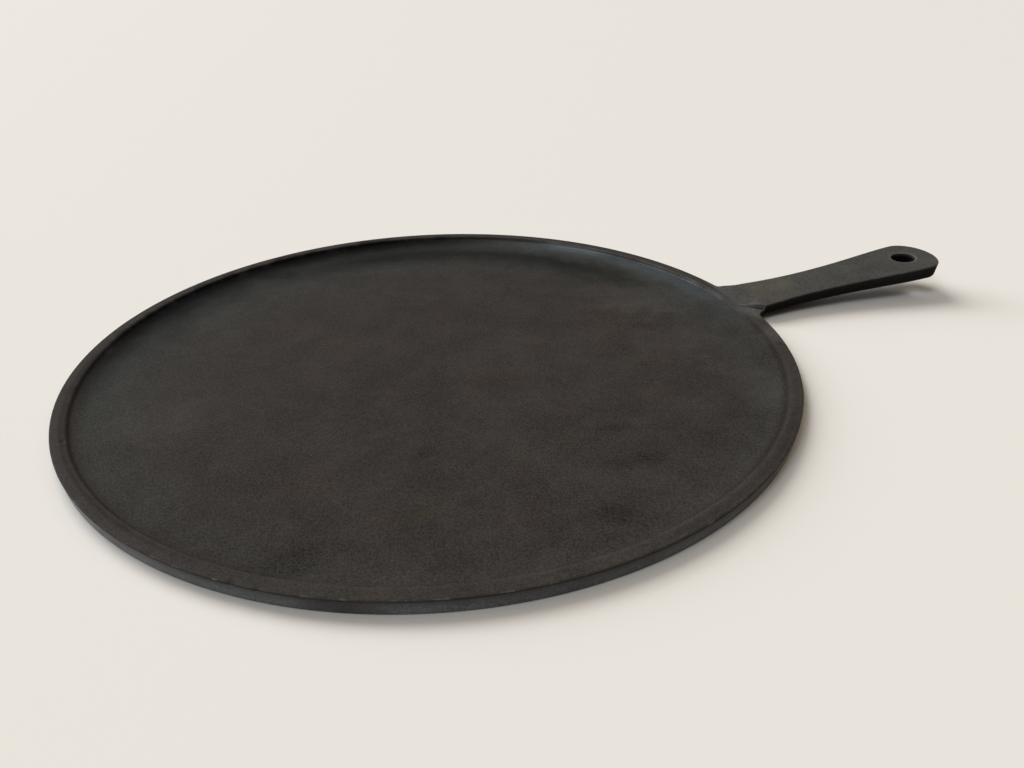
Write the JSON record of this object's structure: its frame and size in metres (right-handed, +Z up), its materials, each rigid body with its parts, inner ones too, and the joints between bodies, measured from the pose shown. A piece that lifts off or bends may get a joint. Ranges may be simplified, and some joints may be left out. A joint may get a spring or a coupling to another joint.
{
  "type": "crepe pan",
  "caption": "Round cast iron crepe pan with a low raised rim and a short flat handle that ends in a hanging hole, for baking thin batter on a stove.",
  "frame": {"origin": "centre of the flat underside of the plate, on the surface that the pan stands on", "axes": "+Z up, +X along the handle from the plate's centre to its tip, +Y across the handle"},
  "size_m": [0.45, 0.33, 0.0193],
  "materials": {
    "seasoned_plate_iron": "seasoned, dark brown-black, satin",
    "worn_rim_iron": "seasoned, worn lighter along the edges",
    "handle_iron": "as cast, dark grey, matt"
  },
  "bodies": {
    "root": {"baking_plate": "seasoned_plate_iron", "raised_rim": "worn_rim_iron", "handle_root": "handle_iron", "handle_shank": "handle_iron", "hanging_eye": "handle_iron"}
  },
  "joints": []
}
